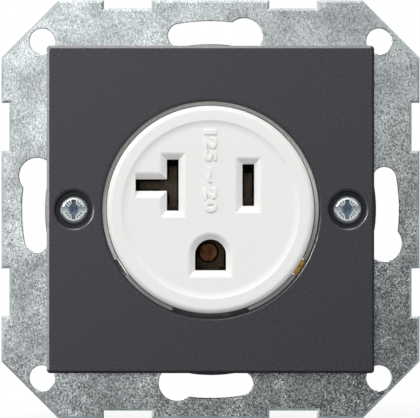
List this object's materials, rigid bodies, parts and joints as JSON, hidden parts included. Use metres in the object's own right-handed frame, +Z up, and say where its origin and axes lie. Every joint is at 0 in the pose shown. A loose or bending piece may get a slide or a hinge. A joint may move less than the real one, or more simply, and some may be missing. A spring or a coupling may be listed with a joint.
{
  "type": "wall socket insert",
  "caption": "Flush wall socket insert: zinc-plated support frame, square dark cover, round white face with blade and earth openings, screw terminals behind.",
  "frame": {"origin": "centre of the support frame's back face, on the wall's surface", "axes": "+X right as seen from the room, +Z up, +Y into the wall; the socket faces -Y"},
  "size_m": [0.071, 0.0271, 0.071],
  "materials": {
    "zinc_plated_steel": "bright zinc plating with fine spangle",
    "anthracite_plastic": "matt moulded thermoplastic",
    "white_plastic": "satin moulded thermoplastic",
    "white_collar_plastic": "satin moulded thermoplastic",
    "black_thermoset": "moulded thermoset",
    "blue_zinc_screw": "blue passivated zinc",
    "contact_brass": "rolled strip",
    "strap_brass": "rolled strip",
    "copper_rivet": "turned and set",
    "clamp_steel": "zinc-plated steel plate",
    "brass_screw": "turned brass",
    "nickel_screw": "nickel-plated steel",
    "green_screw": "green dyed plating on steel"
  },
  "bodies": {
    "root": {"support_frame": "zinc_plated_steel", "cover_plate": "anthracite_plastic", "cover_screws": "blue_zinc_screw", "socket_face": "white_plastic", "socket_base": "white_collar_plastic", "rear_housing": "black_thermoset", "housing_screws": "blue_zinc_screw", "line_contact": "contact_brass", "neutral_contact": "contact_brass", "earth_contact": "contact_brass", "earth_rivet": "copper_rivet", "earth_strap": "strap_brass", "strap_rivets": "copper_rivet"},
    "line_screw": {"line_terminal_screw": "brass_screw"},
    "line_clamp_plate": {"line_clamp": "clamp_steel"},
    "neutral_screw": {"neutral_terminal_screw": "nickel_screw"},
    "neutral_clamp_plate": {"neutral_clamp": "clamp_steel"},
    "earth_screw": {"earth_terminal_screw": "green_screw"},
    "earth_clamp_plate": {"earth_clamp": "clamp_steel"}
  },
  "joints": [
    {"name": "line_screw_turn", "type": "hinge", "parent": "root", "child": "line_screw", "pos_m": [0.0149, 0.008, -0.0024], "axis": [-1, 0, 0], "range_deg": [0, 900]},
    {"name": "line_clamp_slide", "type": "slide", "parent": "root", "child": "line_clamp_plate", "axis": [1, 0, 0], "range_m": [0, 0.002]},
    {"name": "neutral_screw_turn", "type": "hinge", "parent": "root", "child": "neutral_screw", "pos_m": [-0.0149, 0.008, -0.0024], "axis": [1, 0, 0], "range_deg": [0, 900]},
    {"name": "neutral_clamp_slide", "type": "slide", "parent": "root", "child": "neutral_clamp_plate", "axis": [-1, 0, 0], "range_m": [0, 0.002]},
    {"name": "earth_screw_turn", "type": "hinge", "parent": "root", "child": "earth_screw", "pos_m": [0, 0.008, -0.0149], "axis": [0, 0, 1], "range_deg": [0, 900]},
    {"name": "earth_clamp_slide", "type": "slide", "parent": "root", "child": "earth_clamp_plate", "axis": [0, 0, -1], "range_m": [0, 0.002]}
  ],
  "couplings": [
    {"joint": "line_screw_turn", "follows": "line_clamp_slide", "rad_per_m": 7854},
    {"joint": "neutral_screw_turn", "follows": "neutral_clamp_slide", "rad_per_m": 7854},
    {"joint": "earth_screw_turn", "follows": "earth_clamp_slide", "rad_per_m": 7854}
  ]
}
